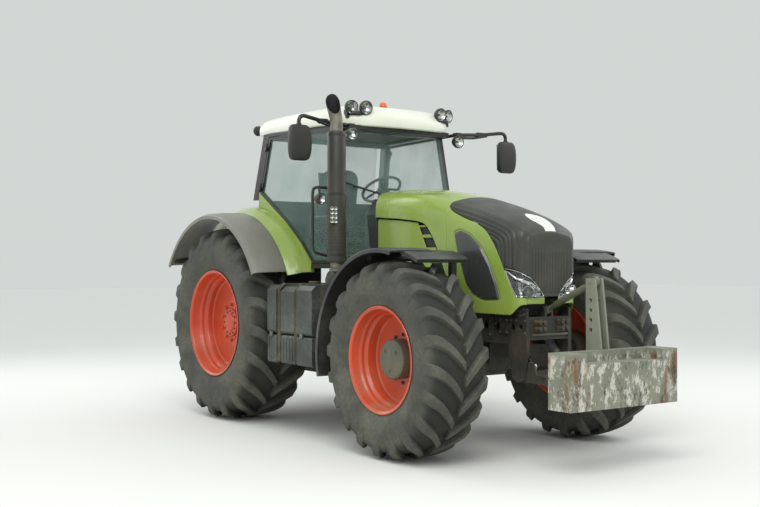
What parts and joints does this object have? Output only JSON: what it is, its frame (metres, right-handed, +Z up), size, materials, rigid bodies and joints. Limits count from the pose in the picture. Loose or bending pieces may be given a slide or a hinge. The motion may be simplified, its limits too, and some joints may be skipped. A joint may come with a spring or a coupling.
{
  "type": "farm tractor",
  "caption": "Four-wheel-drive farm tractor with a glazed cab, opening hood and doors, steered front wheels and lifting linkages, a ballast block on the front.",
  "frame": {"origin": "on the ground, at the middle of the overall box in plan", "axes": "+X forward to the nose, +Y to the driver's left, +Z up"},
  "size_m": [5.8, 2.82, 3.3159],
  "materials": {
    "tyre_rubber": "dusty black rubber",
    "rim_paint": "orange red enamel",
    "green_paint": "satin green enamel",
    "roof_plastic": "off-white moulded plastic",
    "grey_plastic": "warm grey moulded plastic",
    "grille_plastic": "dark grey mesh",
    "black_plastic": "black moulded plastic",
    "black_paint": "black powder coat",
    "clear_glass": "clear tinted glass",
    "lamp_chrome": "bright lamp reflectors",
    "amber_lens": "amber lens",
    "seat_fabric": "dark woven cloth",
    "dark_casting": "dark grey painted casting",
    "linkage_paint": "grey enamel, worn",
    "rod_chrome": "bright rod",
    "ballast_paint": "worn grey paint with rust"
  },
  "bodies": {
    "chassis": {"rear_transaxle": "dark_casting", "engine_block": "dark_casting", "front_frame": "dark_casting", "front_axle": "dark_casting", "side_panels": "green_paint", "cab_frame": "black_paint", "cab_floor": "black_paint", "windscreen": "clear_glass", "rear_glass": "clear_glass", "roof": "roof_plastic", "fender_inner_left": "green_paint", "fender_inner_right": "green_paint", "fender_outer_left": "grey_plastic", "fender_outer_right": "grey_plastic", "lamps": "lamp_chrome", "beacon": "amber_lens", "exhaust": "black_paint", "grab_rails": "black_paint", "mirrors": "black_plastic", "tank_right": "black_plastic", "tank_left": "black_plastic", "seat": "seat_fabric", "console": "black_plastic", "steering_wheel": "black_plastic", "rear_hitch": "dark_casting"},
    "hood": {"hood_shell": "green_paint", "hood_grilles": "grille_plastic", "headlamps": "lamp_chrome"},
    "door_left_body": {"door_left": "black_paint", "door_glass_left": "clear_glass"},
    "door_right_body": {"door_right": "black_paint", "door_glass_right": "clear_glass"},
    "knuckle_left_body": {"knuckle_left": "dark_casting", "front_fender_left": "black_plastic"},
    "knuckle_right_body": {"knuckle_right": "dark_casting", "front_fender_right": "black_plastic"},
    "tie_rod_body": {"tie_rod": "dark_casting"},
    "wheel_front_left": {"tyre_front_left": "tyre_rubber", "rim_front_left": "rim_paint"},
    "wheel_front_right": {"tyre_front_right": "tyre_rubber", "rim_front_right": "rim_paint"},
    "wheel_rear_left": {"tyre_rear_left": "tyre_rubber", "rim_rear_left": "rim_paint"},
    "wheel_rear_right": {"tyre_rear_right": "tyre_rubber", "rim_rear_right": "rim_paint"},
    "front_lift": {"front_lift_arms": "linkage_paint"},
    "ballast": {"ballast_block": "ballast_paint"},
    "front_link": {"front_top_link": "linkage_paint"},
    "front_barrels": {"front_cylinders": "linkage_paint"},
    "front_pistons": {"front_rods": "rod_chrome"},
    "rear_links": {"rear_lower_links": "linkage_paint"},
    "rear_arms": {"rear_lift_arms": "linkage_paint"},
    "rear_rods": {"rear_lift_rods": "linkage_paint"}
  },
  "joints": [
    {"name": "hood_lift", "type": "hinge", "parent": "chassis", "child": "hood", "pos_m": [0.105, 0, 2.262], "axis": [0, -1, 0], "range_deg": [0, 45]},
    {"name": "door_left_swing", "type": "hinge", "parent": "chassis", "child": "door_left_body", "pos_m": [-1.499, 0.8484, 2.4], "axis": [0.1941, -0.0683, 0.9786], "range_deg": [0, 75]},
    {"name": "door_right_swing", "type": "hinge", "parent": "chassis", "child": "door_right_body", "pos_m": [-1.499, -0.8484, 2.4], "axis": [-0.1941, -0.0683, -0.9786], "range_deg": [0, 75]},
    {"name": "steer_left", "type": "hinge", "parent": "chassis", "child": "knuckle_left_body", "pos_m": [1.35, 0.74, 0.84], "axis": [0, 0, 1], "range_deg": [-35, 35]},
    {"name": "steer_right", "type": "hinge", "parent": "chassis", "child": "knuckle_right_body", "pos_m": [1.35, -0.74, 0.84], "axis": [0, 0, 1], "range_deg": [-35, 35]},
    {"name": "tie_rod_shift", "type": "slide", "parent": "chassis", "child": "tie_rod_body", "axis": [0, 1, 0], "range_m": [-0.09269, 0.09269]},
    {"name": "spin_front_left", "type": "hinge", "parent": "knuckle_left_body", "child": "wheel_front_left", "pos_m": [1.35, 1.036, 0.84], "axis": [0, 1, 0], "continuous": true},
    {"name": "spin_front_right", "type": "hinge", "parent": "knuckle_right_body", "child": "wheel_front_right", "pos_m": [1.35, -1.036, 0.84], "axis": [0, 1, 0], "continuous": true},
    {"name": "spin_rear_left", "type": "hinge", "parent": "chassis", "child": "wheel_rear_left", "pos_m": [-1.7, 0.98, 1.015], "axis": [0, 1, 0], "continuous": true},
    {"name": "spin_rear_right", "type": "hinge", "parent": "chassis", "child": "wheel_rear_right", "pos_m": [-1.7, -0.98, 1.015], "axis": [0, 1, 0], "continuous": true},
    {"name": "front_lift_swing", "type": "hinge", "parent": "chassis", "child": "front_lift", "pos_m": [1.92, 0, 0.7], "axis": [0, -1, 0], "range_deg": [-15, 20]},
    {"name": "ballast_tilt", "type": "hinge", "parent": "front_lift", "child": "ballast", "pos_m": [2.6, 0, 0.66], "axis": [0, -1, 0], "range_deg": [-11.71, 8.78]},
    {"name": "front_link_swing", "type": "hinge", "parent": "chassis", "child": "front_link", "pos_m": [2, 0, 1.25], "axis": [0, -1, 0], "range_deg": [-18.65, 24.86]},
    {"name": "front_barrel_swing", "type": "hinge", "parent": "chassis", "child": "front_barrels", "pos_m": [1.8, 0, 1.037], "axis": [0, -1, 0], "range_deg": [-0.303, 0.404]},
    {"name": "front_piston_stroke", "type": "slide", "parent": "front_barrels", "child": "front_pistons", "axis": [0.6597, 0, -0.7515], "range_m": [-0.04692, 0.03519]},
    {"name": "rear_link_swing", "type": "hinge", "parent": "chassis", "child": "rear_links", "pos_m": [-1.95, 0, 0.64], "axis": [0, 1, 0], "range_deg": [-10, 20]},
    {"name": "rear_arm_swing", "type": "hinge", "parent": "chassis", "child": "rear_arms", "pos_m": [-1.96, 0, 1.21], "axis": [0, 1, 0], "range_deg": [-12.71, 25.42]},
    {"name": "rear_rod_swing", "type": "hinge", "parent": "rear_links", "child": "rear_rods", "pos_m": [-2.5, 0, 0.591], "axis": [0, 1, 0], "range_deg": [-18.7, 9.35]}
  ],
  "couplings": [
    {"joint": "steer_right", "follows": "steer_left", "ratio": 1},
    {"joint": "tie_rod_shift", "follows": "steer_left", "m_per_rad": -0.15023},
    {"joint": "ballast_tilt", "follows": "front_lift_swing", "ratio": -0.57403},
    {"joint": "front_link_swing", "follows": "front_lift_swing", "ratio": 1.2188},
    {"joint": "front_barrel_swing", "follows": "front_lift_swing", "ratio": 0.019825},
    {"joint": "front_piston_stroke", "follows": "front_lift_swing", "m_per_rad": -0.13177},
    {"joint": "rear_arm_swing", "follows": "rear_link_swing", "ratio": 1.2459},
    {"joint": "rear_rod_swing", "follows": "rear_link_swing", "ratio": -0.91646}
  ]
}
